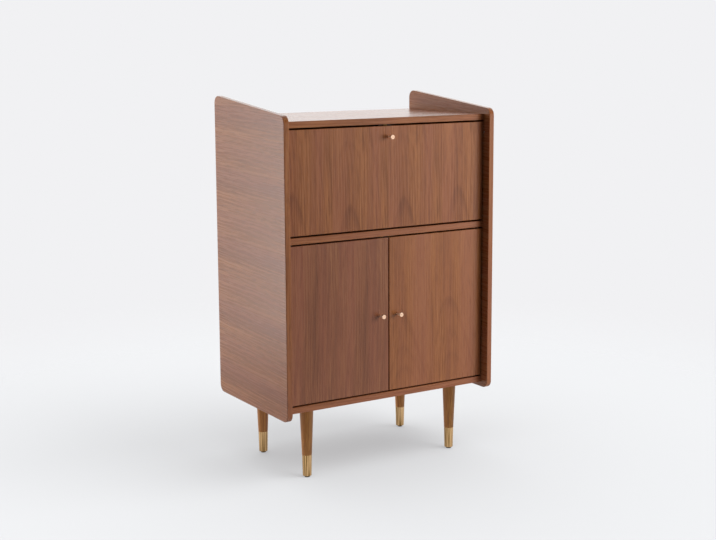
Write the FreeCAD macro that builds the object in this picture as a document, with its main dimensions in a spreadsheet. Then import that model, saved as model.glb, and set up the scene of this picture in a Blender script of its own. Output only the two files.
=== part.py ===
"""Bar cabinet on four turned legs: a drop-down flap shelf above two hinged doors.

Millimetres, +Z up.  The origin is on the floor, under the middle of the cabinet.
The front faces -Y and left is -X.
"""
import FreeCAD, Part
import math
import os
import re

import Sketcher

Vector = FreeCAD.Vector
Rotation = FreeCAD.Rotation

# ---------------------------------------------------------------- driving sizes
SIZES = {
    # carcass
    "cabinet_width": 700,
    "cabinet_depth": 420,
    "underside_height": 205.5,
    "lower_bay_height": 456,
    "upper_bay_height": 299,
    "side_thickness": 16.5,
    "panel_thickness": 18,
    "side_below": 15.5,
    "side_above_front": 16,
    "side_above_rear": 60,
    "side_corner_radius": 22,
    "side_edge_radius": 1.5,
    "panel_edge_radius": 1,
    # back panel, screwed into a rebate all round
    "back_thickness": 6,
    "back_rebate": 8,
    "back_screw_diameter": 3,
    "back_screw_head_diameter": 6,
    "back_screw_head_rim": 0.45,
    "back_screw_length": 15,
    # flap and doors
    "front_recess": 28,
    "front_thickness": 18,
    "side_gap": 3,
    "flap_gap": 5,
    "door_gap": 4.5,
    "meeting_gap": 3.5,
    "swing_margin": 3,
    # inner shelf on four pins
    "shelf_thickness": 16,
    "shelf_setback": 46,
    "shelf_back_gap": 4,
    "shelf_end_gap": 1,
    "shelf_level": 222,
    "shelf_pin_diameter": 5,
    "shelf_pin_bury": 9,
    "shelf_pin_reach": 8,
    "shelf_pin_inset": 50,
    "shelf_pin_pitch": 32,
    # panel joints: cam locks, cam bolts and dowels
    "joint_inset": 46,
    "cam_diameter": 15,
    "cam_depth": 12.5,
    "cam_reach": 24,
    "cam_slot_length": 7.5,
    "cam_slot_width": 2.5,
    "cam_slot_depth": 2,
    "cam_bolt_thread_diameter": 5,
    "cam_bolt_thread_length": 11,
    "cam_bolt_neck_diameter": 4.5,
    "cam_bolt_head_diameter": 7,
    "cam_bolt_head_length": 3,
    "cam_bolt_bore": 8,
    "dowel_diameter": 8,
    "dowel_side_depth": 10,
    "dowel_panel_depth": 22,
    "dowel_offset": 32,
    # legs
    "leg_inset_side": 102,
    "leg_inset_front": 76,
    "leg_top_diameter": 40,
    "leg_neck_diameter": 28.5,
    "ferrule_height": 61,
    "ferrule_bottom_diameter": 25.5,
    "ferrule_wall": 1.2,
    "ferrule_base": 2,
    "glide_height": 4.5,
    "glide_diameter": 15,
    "glide_nail_diameter": 3,
    "glide_nail_length": 14,
    "leg_bolt_diameter": 8,
    "leg_bolt_bury": 36,
    "insert_diameter": 12,
    "insert_length": 14,
    "insert_flange_diameter": 16,
    "insert_flange_thickness": 1.5,
    # pivot pins and bushes of the flap and doors
    "pivot_diameter": 6,
    "pivot_clearance": 0.05,
    "pivot_bury": 16,
    "pivot_collar_diameter": 9,
    "pivot_end_clearance": 0.3,
    "bush_diameter": 10,
    "bush_depth": 9,
    "bush_base": 1,
    "bush_flange_diameter": 13,
    "bush_flange_thickness": 1,
    # flap stays: an arm hinged on the flap slides over a fixed stud
    "stay_pin_back": 21,
    "stay_pin_up": 160,
    "stay_rest_angle": 40,
    "flap_opening": 90,
    "arm_width": 14,
    "arm_thickness": 2,
    "arm_end_wall": 7,
    "arm_side_space": 4.2,
    "arm_clearance": 0.3,
    "slot_clearance": 0.15,
    "stud_diameter": 6,
    "stud_head_diameter": 12,
    "stud_head_thickness": 2,
    "stud_screw_diameter": 4,
    "stud_screw_length": 12,
    "bracket_thickness": 2,
    "bracket_width": 30,
    "bracket_height": 44,
    "bracket_ear_height": 20,
    "bracket_ear_corner": 5,
    "bracket_screw_spacing": 30,
    "bracket_screw_diameter": 3.5,
    "bracket_screw_length": 13,
    "bracket_screw_head_diameter": 7,
    "bracket_screw_head_thickness": 2,
    "bracket_screw_head_rim": 0.8,
    "rivet_diameter": 5,
    "rivet_clearance": 0.05,
    "rivet_head_diameter": 9,
    "rivet_head_thickness": 1.4,
    # magnetic catches
    "catch_width": 46,
    "catch_depth": 15,
    "catch_height": 13,
    "catch_gap": 0.4,
    "catch_screw_spacing": 34,
    "catch_screw_diameter": 3,
    "catch_screw_bite": 9,
    "catch_screw_head_diameter": 6,
    "catch_screw_head_thickness": 1.8,
    "magnet_width": 10,
    "magnet_height": 7,
    "magnet_depth": 9,
    "magnet_spacing": 4,
    "strike_diameter": 13,
    "strike_thickness": 1.5,
    "strike_edge_space": 5,
    "strike_nail_diameter": 2.5,
    "strike_nail_length": 8,
    # steel studs in the sides, just in front of the flap
    "side_stud_diameter": 4.6,
    "side_stud_face_diameter": 2.3,
    "side_stud_rise": 0.7,
    "side_stud_shank": 3,
    "side_stud_bury": 8,
    "side_stud_forward": 3,
    # knobs
    "knob_head_diameter": 13,
    "knob_head_length": 6.5,
    "knob_chamfer": 0.8,
    "knob_stem_diameter": 6.5,
    "knob_projection": 22,
    "knob_dimple_diameter": 3,
    "knob_dimple_depth": 0.8,
    "knob_screw_diameter": 4,
    "knob_screw_bite": 12,
    "knob_screw_head_diameter": 8,
    "knob_screw_head_depth": 3,
    "flap_knob_drop": 30,
    "door_knob_offset": 28,
    # how far a cut runs past the face that it opens
    "overcut": 1,
}

# ------------------------------------------------ places worked out from the sizes
PLACES = {
    "side_inner": "cabinet_width / 2 - side_thickness",
    "rear": "cabinet_depth / 2",
    "front_face": "front_recess - cabinet_depth / 2",
    "front_back": "front_face + front_thickness",
    "pivot_plane": "front_face + front_thickness / 2",
    "back_plane": "rear - back_thickness",
    "bottom_top": "underside_height + panel_thickness",
    "middle_under": "bottom_top + lower_bay_height",
    "middle_top": "middle_under + panel_thickness",
    "top_under": "middle_top + upper_bay_height",
    "top_top": "top_under + panel_thickness",
    "half_front": "front_thickness / 2",
    "joint_front": "front_face + joint_inset",
    "joint_rear": "back_plane - joint_inset",
    # the pivots stand far enough in for the hidden corner to turn inside its gap
    "flap_pivot_in": "(half_front * half_front - flap_gap * flap_gap) / (2 * flap_gap) + swing_margin",
    "door_pivot_in": "(half_front * half_front - side_gap * side_gap) / (2 * side_gap) + swing_margin",
    "flap_bottom": "middle_top + flap_gap",
    "flap_height": "upper_bay_height - 2 * flap_gap",
    "flap_pivot_z": "flap_bottom + flap_pivot_in",
    "door_height": "lower_bay_height - 2 * door_gap",
    "door_pivot_x": "side_inner - side_gap - door_pivot_in",
    "door_reach": "door_pivot_x - meeting_gap / 2",
    "shelf_under": "bottom_top + shelf_level",
    "shelf_front": "front_face + shelf_setback",
    "shelf_rear": "back_plane - shelf_back_gap",
    "leg_x": "cabinet_width / 2 - leg_inset_side",
    "leg_y": "cabinet_depth / 2 - leg_inset_front",
    "leg_neck_z": "glide_height + ferrule_height",
    # flap stay: its pin and its stud lie on one circle about the flap's pivot
    "stay_radius": "sqrt(stay_pin_back * stay_pin_back + stay_pin_up * stay_pin_up)",
    "stay_pin_lean": "atan(stay_pin_back / stay_pin_up)",
    "stud_back": "stay_radius * sin(stay_pin_lean + stay_rest_angle * 1 deg)",
    "stud_up": "stay_radius * cos(stay_pin_lean + stay_rest_angle * 1 deg)",
    "stay_short": "2 * stay_radius * sin(stay_rest_angle / 2)",
    "stay_long": "2 * stay_radius * sin((stay_rest_angle + flap_opening) / 2)",
    "stay_slope": "stay_pin_lean + stay_rest_angle / 2 * 1 deg",
    "arm_face": "side_inner - arm_side_space",
    "ear_face": "arm_face - arm_thickness - arm_clearance",
    "catch_front": "front_back + strike_thickness + catch_gap",
    "flap_catch_z": "top_under - catch_height / 2",
    "door_catch_z": "middle_under - catch_height / 2",
    "knob_flap_z": "flap_bottom + flap_height - flap_knob_drop",
    "knob_door_z": "bottom_top + lower_bay_height / 2",
    "knob_stem_length": "knob_projection - knob_head_length",
}

WORD = re.compile(r"[a-z][a-z_]*")

NEAR = 0.01  # coordinates closer than this are the same
LEAST_CUT = 1.0  # a cut that takes less than this volume has missed


def full(text):
    """Write a formula out for the document: sheet cells and places by name."""
    def swap(match):
        word = match.group(0)
        if word in PLACES:
            return "(" + full(PLACES[word]) + ")"
        return "Sizes." + word if word in SIZES else word
    return WORD.sub(swap, str(text))


doc = FreeCAD.newDocument("BarCabinet")
sheet = doc.addObject("Spreadsheet::Sheet", "Sizes")
for row, (alias, size) in enumerate(SIZES.items(), start=1):
    sheet.set("A%d" % row, alias)
    sheet.set("B%d" % row, str(size))
    sheet.setAlias("B%d" % row, alias)
doc.recompute()

nodes = {}
cuts = []

TURNS = {
    "+Z": Rotation(),
    "-Z": Rotation(Vector(1, 0, 0), 180),
    "+X": Rotation(Vector(0, 1, 0), 90),
    "-X": Rotation(Vector(0, 1, 0), -90),
    "+Y": Rotation(Vector(1, 0, 0), -90),
    "-Y": Rotation(Vector(1, 0, 0), 90),
}


# ------------------------------------------------------------------ small tools
def put(item, x=0, y=0, z=0):
    """Bind an object's place to formulas."""
    for axis, formula in zip("xyz", (x, y, z)):
        item.setExpression("Placement.Base." + axis, full(formula))


def new_body(label, x=0, y=0, z=0):
    """Start a sub-part's body at its place."""
    body = doc.addObject("PartDesign::Body", label)
    body.Label = label
    put(body, x, y, z)
    return body


def node(item):
    """List an object as one of the cabinet's sub-parts."""
    nodes[item.Label] = item
    return item


def sketch_on(body, role, offset=0):
    """Start a sketch on one of the body's own planes, moved along its normal."""
    plane = next(item for item in body.Origin.OriginFeatures if item.Role == role)
    sketch = body.newObject("Sketcher::SketchObject", body.Name + "Sketch")
    sketch.AttachmentSupport = [(plane, "")]
    sketch.MapMode = "FlatFace"
    sketch.setExpression("AttachmentOffset.Base.z", full(offset))
    return sketch


def bind(sketch, kind, *args):
    """Add a constraint whose value is the formula given last."""
    index = sketch.addConstraint(Sketcher.Constraint(kind, *args[:-1], value(args[-1])))
    sketch.setExpression("Constraints[%d]" % index, full(args[-1]))


def value(formula):
    """A formula's number with the sheet's present sizes."""
    result = sheet.evalExpression(full(formula))
    return float(getattr(result, "Value", result))


def outline(body, role, points, offset=0):
    """Sketch a closed outline of straight edges through the given points."""
    sketch = sketch_on(body, role, offset)
    corners = [Vector(value(x), value(y), 0) for x, y in points]
    count = len(corners)
    for i in range(count):
        sketch.addGeometry(Part.LineSegment(corners[i], corners[(i + 1) % count]), False)
    for i in range(count):
        sketch.addConstraint(Sketcher.Constraint("Coincident", i, 2, (i + 1) % count, 1))
    for i, (x, y) in enumerate(points):
        bind(sketch, "DistanceX", -1, 1, i, 1, x)
        bind(sketch, "DistanceY", -1, 1, i, 1, y)
    return sketch


def circles(body, role, centres, diameter, offset=0):
    """Sketch equal circles about the given centres."""
    sketch = sketch_on(body, role, offset)
    for i, (x, y) in enumerate(centres):
        centre = Vector(value(x), value(y), 0)
        sketch.addGeometry(Part.Circle(centre, Vector(0, 0, 1), value(diameter) / 2), False)
        bind(sketch, "DistanceX", -1, 1, i, 3, x)
        bind(sketch, "DistanceY", -1, 1, i, 3, y)
        bind(sketch, "Radius", i, "(%s) / 2" % diameter)
    return sketch


def pad(body, sketch, length, back=False):
    """Raise a sketch into a solid, along its normal or against it."""
    feature = body.newObject("PartDesign::Pad", body.Name + "Pad")
    feature.Profile = sketch
    feature.setExpression("Length", full(length))
    feature.Reversed = back
    sketch.Visibility = False
    return feature


def pocket(body, sketch, depth, along=False):
    """Cut a sketch into the solid, against its normal or along it."""
    base = body.Tip
    feature = body.newObject("PartDesign::Pocket", body.Name + "Pocket")
    feature.Profile = sketch
    feature.setExpression("Length", full(depth))
    feature.Reversed = along
    cuts.append((base, feature))
    return feature


def slab(label, box_from, box_to, x=0, y=0, z=0):
    """A rectangular board between two corners in its body's own frame."""
    body = new_body(label, x, y, z)
    (x0, y0, z0), (x1, y1, z1) = box_from, box_to
    sketch = outline(body, "XY_Plane", [(x0, y0), (x1, y0), (x1, y1), (x0, y1)], z0)
    pad(body, sketch, "(%s) - (%s)" % (z1, z0))
    return body


def turned(label, profile, x=0, y=0, z=0):
    """A piece turned about its own Z axis from (radius, height) points."""
    body = new_body(label, x, y, z)
    sketch = outline(body, "XZ_Plane", profile)
    feature = body.newObject("PartDesign::Revolution", body.Name + "Turn")
    feature.Profile = sketch
    feature.ReferenceAxis = (sketch, ["V_Axis"])
    feature.Angle = 360
    return body


def copies(label, pattern, places, turns=TURNS):
    """One node made of copies of a pattern, each at (x, y, z, direction)."""
    links = []
    for x, y, z, direction in places:
        link = doc.addObject("App::Link", label + "Copy")
        link.LinkedObject = pattern
        link.Placement = FreeCAD.Placement(Vector(), turns[direction])
        put(link, x, y, z)
        links.append(link)
    group = doc.addObject("Part::Compound", label)
    group.Label = label
    group.Links = links
    return node(group)


def minus(formula):
    """The same formula on the other side of zero."""
    return "-(%s)" % formula


def mirrored(sign, formula):
    """A formula on the left (-1) or right (+1) of the middle."""
    return formula if sign > 0 else minus(formula)


# Left and right, as names and as signs of X.
HANDS = (("left", -1), ("right", 1))


def toward_side(sign):
    """The direction from the middle of the cabinet to one side."""
    return "+X" if sign > 0 else "-X"


# ---------------------------------------------------------------------- carcass
PANEL_Z = {
    "bottom_panel": "underside_height",
    "middle_panel": "middle_under",
    "top_panel": "top_under",
}
JOINT_Y = ("joint_front", "joint_rear")
DOWEL_Y = ("joint_front + dowel_offset", "joint_rear - dowel_offset")
MID_PANEL = "panel_thickness / 2"

SHELF_PIN_Y = ("shelf_front + shelf_pin_inset", "shelf_rear - shelf_pin_inset")
SHELF_PIN_Z = "shelf_under - shelf_pin_diameter / 2"
SHELF_HOLE_Z = (
    SHELF_PIN_Z, SHELF_PIN_Z + " - shelf_pin_pitch", SHELF_PIN_Z + " + shelf_pin_pitch",
    SHELF_PIN_Z + " + 2 * shelf_pin_pitch", SHELF_PIN_Z + " - 2 * shelf_pin_pitch",
)
STUD_Y = "pivot_plane + stud_back"
STUD_Z = "flap_pivot_z + stud_up"
SIDE_STUD_Y = "front_face - side_stud_forward"
BACK_SCREW_X = "side_inner + back_rebate / 2"
BACK_SCREW_LEVELS = 5
BACK_SCREW_SIDE_Z = [
    "bottom_top + (top_under - bottom_top) * %g" % ((i + 0.5) / BACK_SCREW_LEVELS)
    for i in range(BACK_SCREW_LEVELS)
]
# two screws into each cross panel, halfway from the middle to the sides
BACK_SCREW_PANEL_X = ("-side_inner / 2", "side_inner / 2")
BACK_SCREW_PANEL_Z = {
    "bottom_panel": "bottom_top - back_rebate / 2",
    "middle_panel": "middle_under + panel_thickness / 2",
    "top_panel": "top_under + back_rebate / 2",
}


def corner_edges(shape):
    """The outline corners of a side panel: its four edges along X."""
    names = []
    for i, edge in enumerate(shape.Edges, start=1):
        ends = [vertex.Point for vertex in edge.Vertexes]
        if len(ends) == 2 and abs(ends[0].y - ends[1].y) < NEAR and abs(ends[0].z - ends[1].z) < NEAR:
            names.append("Edge%d" % i)
    return names


def rim_edges(shape, axis, level):
    """The edges that lie wholly in the plane where one coordinate has this value."""
    names = []
    for i, edge in enumerate(shape.Edges, start=1):
        low, high = getattr(edge.BoundBox, axis + "Min"), getattr(edge.BoundBox, axis + "Max")
        if abs(low - value(level)) < NEAR and abs(high - value(level)) < NEAR:
            names.append("Edge%d" % i)
    return names


def ease(body, axis, levels, radius="panel_edge_radius"):
    """Round the rims of a board's faces: those where one local coordinate has these values."""
    doc.recompute()
    names = []
    for level in levels:
        names += rim_edges(body.Tip.Shape, axis, level)
    fillet(body, names, radius)


def fillet(body, names, radius):
    """Round the named edges of the body's last feature."""
    base = body.Tip
    feature = body.newObject("PartDesign::Fillet", body.Name + "Fillet")
    feature.Base = (base, names)
    feature.setExpression("Radius", full(radius))
    doc.recompute()
    return feature


def side_panel(hand, sign):
    """A side: rounded corners, a top edge that climbs to the rear, and its bores."""
    body = new_body("side_panel_" + hand)
    outer = mirrored(sign, "cabinet_width / 2")
    inner = mirrored(sign, "side_inner")
    foot = "underside_height - side_below"
    sketch = outline(body, "YZ_Plane", [
        ("-rear", foot),
        ("rear", foot),
        ("rear", "top_top + side_above_rear"),
        ("-rear", "top_top + side_above_front"),
    ], inner)
    pad(body, sketch, "side_thickness", back=sign < 0)
    doc.recompute()
    fillet(body, corner_edges(body.Shape), "side_corner_radius")
    for plane in (outer, inner):
        fillet(body, rim_edges(body.Shape, "X", plane), "side_edge_radius")

    # every bore starts in the inner face and goes toward the outer one
    into = sign > 0

    def bores(centres, diameter, depth):
        pocket(body, circles(body, "YZ_Plane", centres, diameter, inner), depth, along=into)

    panels = [z + " + " + MID_PANEL for z in PANEL_Z.values()]
    bores([(y, z) for z in panels for y in JOINT_Y], "cam_bolt_thread_diameter", "cam_bolt_thread_length")
    bores([(y, z) for z in panels for y in DOWEL_Y], "dowel_diameter", "dowel_side_depth")
    bores([(y, z) for y in SHELF_PIN_Y for z in SHELF_HOLE_Z], "shelf_pin_diameter", "shelf_pin_bury")
    bores([("pivot_plane", "flap_pivot_z")], "bush_diameter", "bush_depth")
    bores([(STUD_Y, STUD_Z)], "stud_screw_diameter", "stud_screw_length")
    bores([(SIDE_STUD_Y, "knob_flap_z")], "side_stud_shank", "side_stud_bury")

    # rebate for the back panel, from the bottom panel up to the top panel
    low, high = "bottom_top - back_rebate", "top_under + back_rebate"
    rebate = outline(body, "YZ_Plane", [
        ("back_plane", low), ("rear + overcut", low), ("rear + overcut", high), ("back_plane", high),
    ], inner)
    pocket(body, rebate, "back_rebate", along=into)
    screws = [(mirrored(sign, BACK_SCREW_X), z) for z in BACK_SCREW_SIDE_Z]
    back_screw_bores(body, screws)
    return node(body)


def back_screw_bores(body, centres, base_z=0):
    """Pilot bores for the back panel's screws, going forward from the rear."""
    moved = [(x, "(%s) - (%s)" % (z, base_z)) for x, z in centres]
    sketch = circles(body, "XZ_Plane", moved, "back_screw_diameter", "-rear")
    pocket(body, sketch, "back_screw_length", along=True)


def panel(label):
    """A cross panel between the sides, drilled at both ends for its joints."""
    level = PANEL_Z[label]
    rear_y = "back_plane" if label == "middle_panel" else "rear"
    body = slab(label, ("-side_inner", "front_face", 0), ("side_inner", rear_y, "panel_thickness"), z=level)
    doc.recompute()
    front_rim = rim_edges(body.Tip.Shape, "Y", "front_face")
    end_rims = rim_edges(body.Tip.Shape, "X", "-side_inner") + rim_edges(body.Tip.Shape, "X", "side_inner")
    fillet(body, [name for name in front_rim if name not in end_rims], "panel_edge_radius")
    for sign in (-1, 1):
        end = mirrored(sign, "side_inner")
        # the end bores go from the end face back toward the middle
        for rows, diameter, depth in (
                (JOINT_Y, "cam_bolt_bore", "cam_reach"),
                (DOWEL_Y, "dowel_diameter", "dowel_panel_depth")):
            sketch = circles(body, "YZ_Plane", [(y, MID_PANEL) for y in rows], diameter, end)
            pocket(body, sketch, depth, along=sign < 0)
    cams = [(mirrored(sign, "side_inner - cam_reach"), y) for sign in (-1, 1) for y in JOINT_Y]
    pocket(body, circles(body, "XY_Plane", cams, "cam_diameter"), "cam_depth", along=True)
    if label != "middle_panel":
        # rebate for the back panel, in the face toward the bays
        low, high = "panel_thickness - back_rebate", "panel_thickness + overcut"
        if label == "top_panel":
            low, high = "-overcut", "back_rebate"
        rebate = outline(body, "YZ_Plane", [
            ("back_plane", low), ("rear + overcut", low), ("rear + overcut", high), ("back_plane", high),
        ], "-side_inner - overcut")
        pocket(body, rebate, "2 * (side_inner + overcut)", along=True)
    screws = [(x, BACK_SCREW_PANEL_Z[label]) for x in BACK_SCREW_PANEL_X]
    back_screw_bores(body, screws, level)
    return node(body)


for hand, sign in HANDS:
    side_panel(hand, sign)

top_panel = panel("top_panel")
middle_panel = panel("middle_panel")
bottom_panel = panel("bottom_panel")

DOOR_PIVOTS = [(mirrored(sign, "door_pivot_x"), "pivot_plane") for hand, sign in HANDS]
pocket(middle_panel, circles(middle_panel, "XY_Plane", DOOR_PIVOTS, "bush_diameter"), "bush_depth", along=True)
pocket(bottom_panel, circles(bottom_panel, "XY_Plane", DOOR_PIVOTS, "bush_diameter", "panel_thickness"),
       "bush_depth")

CATCH_SCREW_X = ("-catch_screw_spacing / 2", "catch_screw_spacing / 2")
CATCH_SCREW_Y = "catch_front + catch_depth / 2"
for board in (top_panel, middle_panel):
    spots = [(x, CATCH_SCREW_Y) for x in CATCH_SCREW_X]
    pocket(board, circles(board, "XY_Plane", spots, "catch_screw_diameter"), "catch_screw_bite", along=True)

LEGS = [
    (place + "_" + hand, mirrored(sign, "leg_x"), y)
    for place, y in (("front", "-leg_y"), ("rear", "leg_y")) for hand, sign in HANDS
]
leg_centres = [(x, y) for name, x, y in LEGS]
for diameter, depth in (
        ("insert_flange_diameter", "insert_flange_thickness"),
        ("insert_diameter", "insert_length")):
    pocket(bottom_panel, circles(bottom_panel, "XY_Plane", leg_centres, diameter), depth, along=True)

back_panel = slab(
    "back_panel",
    ("-side_inner - back_rebate", 0, "bottom_top - back_rebate"),
    ("side_inner + back_rebate", "back_thickness", "top_under + back_rebate"),
    y="back_plane")
node(back_panel)
back_screw_places = [(mirrored(sign, BACK_SCREW_X), z) for hand, sign in HANDS for z in BACK_SCREW_SIDE_Z]
back_screw_places += [(x, z) for z in BACK_SCREW_PANEL_Z.values() for x in BACK_SCREW_PANEL_X]
pocket(back_panel, circles(back_panel, "XZ_Plane", back_screw_places, "back_screw_diameter"),
       "back_thickness")
BACK_SCREW_SINK = "(back_screw_head_diameter - back_screw_diameter) / 2"
heads = circles(back_panel, "XZ_Plane", back_screw_places, "back_screw_head_diameter", "-back_thickness")
pocket(back_panel, heads, BACK_SCREW_SINK, along=True)

back_screw = turned("back_screw_pattern", [
    (0, 0),
    ("back_screw_head_diameter / 2", 0),
    ("back_screw_head_diameter / 2", "-back_screw_head_rim"),
    ("back_screw_diameter / 2", "-" + BACK_SCREW_SINK),
    ("back_screw_diameter / 2", "-back_screw_length"),
    (0, "-back_screw_length"),
])
copies("back_panel_screws", back_screw, [(x, "rear", z, "+Y") for x, z in back_screw_places])

# ---------------------------------------------------------- joints of the panels
cam = turned("cam_lock_pattern", [
    (0, 0), ("cam_diameter / 2", 0), ("cam_diameter / 2", "cam_depth"), (0, "cam_depth"),
])
pocket(cam, circles(cam, "YZ_Plane", [(0, MID_PANEL)], "cam_bolt_bore"), "cam_diameter", along=True)
for long_x, long_y in (
        ("cam_slot_length / 2", "cam_slot_width / 2"),
        ("cam_slot_width / 2", "cam_slot_length / 2")):
    cross = outline(cam, "XY_Plane", [
        (minus(long_x), minus(long_y)), (long_x, minus(long_y)), (long_x, long_y), (minus(long_x), long_y),
    ])
    pocket(cam, cross, "cam_slot_depth", along=True)

cam_places, bolt_places, dowel_places = [], [], []
for level in PANEL_Z.values():
    for hand, sign in HANDS:
        cam_x = mirrored(sign, "side_inner - cam_reach")
        face_x = mirrored(sign, "side_inner")
        for y in JOINT_Y:
            cam_places.append((cam_x, y, level, toward_side(sign)))
            bolt_places.append((face_x, y, level + " + " + MID_PANEL, toward_side(sign)))
        for y in DOWEL_Y:
            dowel_places.append((face_x, y, level + " + " + MID_PANEL, toward_side(sign)))


# each cam lock keeps upright and turns its bolt mouth to the nearer side
copies("cam_locks", cam, cam_places, {"+X": Rotation(), "-X": Rotation(Vector(0, 0, 1), 180)})

NECK_END = "cam_reach - cam_bolt_head_length"
bolt = turned("cam_bolt_pattern", [
    (0, "cam_bolt_thread_length"),
    ("cam_bolt_thread_diameter / 2", "cam_bolt_thread_length"),
    ("cam_bolt_thread_diameter / 2", 0),
    ("cam_bolt_neck_diameter / 2", 0),
    ("cam_bolt_neck_diameter / 2", minus(NECK_END)),
    ("cam_bolt_head_diameter / 2", minus(NECK_END)),
    ("cam_bolt_head_diameter / 2", "-cam_reach"),
    (0, "-cam_reach"),
])
copies("cam_bolts", bolt, bolt_places)

dowel = turned("dowel_pattern", [
    (0, "-dowel_panel_depth"), ("dowel_diameter / 2", "-dowel_panel_depth"),
    ("dowel_diameter / 2", "dowel_side_depth"), (0, "dowel_side_depth"),
])
copies("dowels", dowel, dowel_places)

# ------------------------------------------------------------------ inner shelf
shelf = slab(
    "inner_shelf",
    ("-side_inner + shelf_end_gap", "shelf_front", 0),
    ("side_inner - shelf_end_gap", "shelf_rear", "shelf_thickness"),
    z="shelf_under")
node(shelf)
ease(shelf, "Y", ("shelf_front",))

shelf_pin = turned("shelf_pin_pattern", [
    (0, "-shelf_pin_reach"), ("shelf_pin_diameter / 2", "-shelf_pin_reach"),
    ("shelf_pin_diameter / 2", "shelf_pin_bury"), (0, "shelf_pin_bury"),
])
copies("shelf_pins", shelf_pin, [
    (mirrored(sign, "side_inner"), y, SHELF_PIN_Z, toward_side(sign))
    for hand, sign in HANDS for y in SHELF_PIN_Y
])

# ------------------------------------------------------------------------- legs
TENON_TOP = "leg_neck_diameter / 2 - ferrule_wall"
TENON_FOOT = "ferrule_bottom_diameter / 2 - ferrule_wall"
BASE_Z = "glide_height + ferrule_base"
for place, x, y in LEGS:
    node(turned("leg_" + place, [
        ("leg_bolt_diameter / 2", "underside_height"),
        ("leg_top_diameter / 2", "underside_height"),
        ("leg_neck_diameter / 2", "leg_neck_z"),
        (TENON_TOP, "leg_neck_z"),
        (TENON_FOOT, BASE_Z),
        ("glide_nail_diameter / 2", BASE_Z),
        ("glide_nail_diameter / 2", "glide_height + glide_nail_length"),
        (0, "glide_height + glide_nail_length"),
        (0, "underside_height - leg_bolt_bury"),
        ("leg_bolt_diameter / 2", "underside_height - leg_bolt_bury"),
    ], x, y))
    node(turned("ferrule_" + place, [
        ("glide_nail_diameter / 2", "glide_height"),
        ("ferrule_bottom_diameter / 2", "glide_height"),
        ("leg_neck_diameter / 2", "leg_neck_z"),
        (TENON_TOP, "leg_neck_z"),
        (TENON_FOOT, BASE_Z),
        ("glide_nail_diameter / 2", BASE_Z),
    ], x, y))
    node(turned("glide_" + place, [
        (0, 0),
        ("glide_diameter / 2", 0),
        ("glide_diameter / 2", "glide_height"),
        ("glide_nail_diameter / 2", "glide_height"),
        ("glide_nail_diameter / 2", "glide_height + glide_nail_length"),
        (0, "glide_height + glide_nail_length"),
    ], x, y))

leg_bolt = turned("leg_bolt_pattern", [
    (0, "-leg_bolt_bury"), ("leg_bolt_diameter / 2", "-leg_bolt_bury"),
    ("leg_bolt_diameter / 2", "insert_length"), (0, "insert_length"),
])
leg_insert = turned("leg_insert_pattern", [
    ("leg_bolt_diameter / 2", 0),
    ("insert_flange_diameter / 2", 0),
    ("insert_flange_diameter / 2", "insert_flange_thickness"),
    ("insert_diameter / 2", "insert_flange_thickness"),
    ("insert_diameter / 2", "insert_length"),
    ("leg_bolt_diameter / 2", "insert_length"),
])
leg_tops = [(x, y, "underside_height", "+Z") for x, y in leg_centres]
copies("leg_bolts", leg_bolt, leg_tops)
copies("leg_inserts", leg_insert, leg_tops)

# -------------------------------------------------------------- pins and bushes
bush = turned("pivot_bush_pattern", [
    ("pivot_diameter / 2 + pivot_clearance", "-bush_flange_thickness"),
    ("bush_flange_diameter / 2", "-bush_flange_thickness"),
    ("bush_flange_diameter / 2", 0),
    ("bush_diameter / 2", 0),
    ("bush_diameter / 2", "bush_depth"),
    (0, "bush_depth"),
    (0, "bush_depth - bush_base"),
    ("pivot_diameter / 2 + pivot_clearance", "bush_depth - bush_base"),
])
copies("flap_pivot_bushes", bush, [
    (mirrored(sign, "side_inner"), "pivot_plane", "flap_pivot_z", toward_side(sign)) for hand, sign in HANDS
])
copies("door_pivot_bushes", bush, [
    (x, y, z, direction) for x, y in DOOR_PIVOTS
    for z, direction in (("middle_under", "+Z"), ("bottom_top", "-Z"))
])


def pivot_pin(label, gap):
    """A pin let into a door's edge: its collar fills the gap, its end runs in a bush."""
    collar = "%s - bush_flange_thickness - pivot_end_clearance" % gap
    tip = "%s + bush_depth - bush_base - pivot_end_clearance" % gap
    return turned(label, [
        (0, "-pivot_bury"),
        ("pivot_diameter / 2", "-pivot_bury"),
        ("pivot_diameter / 2", 0),
        ("pivot_collar_diameter / 2", 0),
        ("pivot_collar_diameter / 2", collar),
        ("pivot_diameter / 2", collar),
        ("pivot_diameter / 2", tip),
        (0, tip),
    ])


flap_pin = pivot_pin("flap_pin_pattern", "side_gap")
door_pin = pivot_pin("door_pin_pattern", "door_gap")

# ---------------------------------------------------------------- knobs, strikes
knob = turned("knob_pattern", [
    ("knob_screw_diameter / 2", 0),
    ("knob_stem_diameter / 2", 0),
    ("knob_stem_diameter / 2", "knob_stem_length"),
    ("knob_head_diameter / 2 - knob_chamfer", "knob_stem_length"),
    ("knob_head_diameter / 2", "knob_stem_length + knob_chamfer"),
    ("knob_head_diameter / 2", "knob_projection - knob_chamfer"),
    ("knob_head_diameter / 2 - knob_chamfer", "knob_projection"),
    ("knob_dimple_diameter / 2", "knob_projection"),
    (0, "knob_projection - knob_dimple_depth"),
    (0, "knob_screw_bite"),
    ("knob_screw_diameter / 2", "knob_screw_bite"),
])
knob_screw = turned("knob_screw_pattern", [
    (0, "-front_thickness"),
    ("knob_screw_head_diameter / 2", "-front_thickness"),
    ("knob_screw_head_diameter / 2", "knob_screw_head_depth - front_thickness"),
    ("knob_screw_diameter / 2", "knob_screw_head_depth - front_thickness"),
    ("knob_screw_diameter / 2", "knob_screw_bite"),
    (0, "knob_screw_bite"),
])
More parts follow.
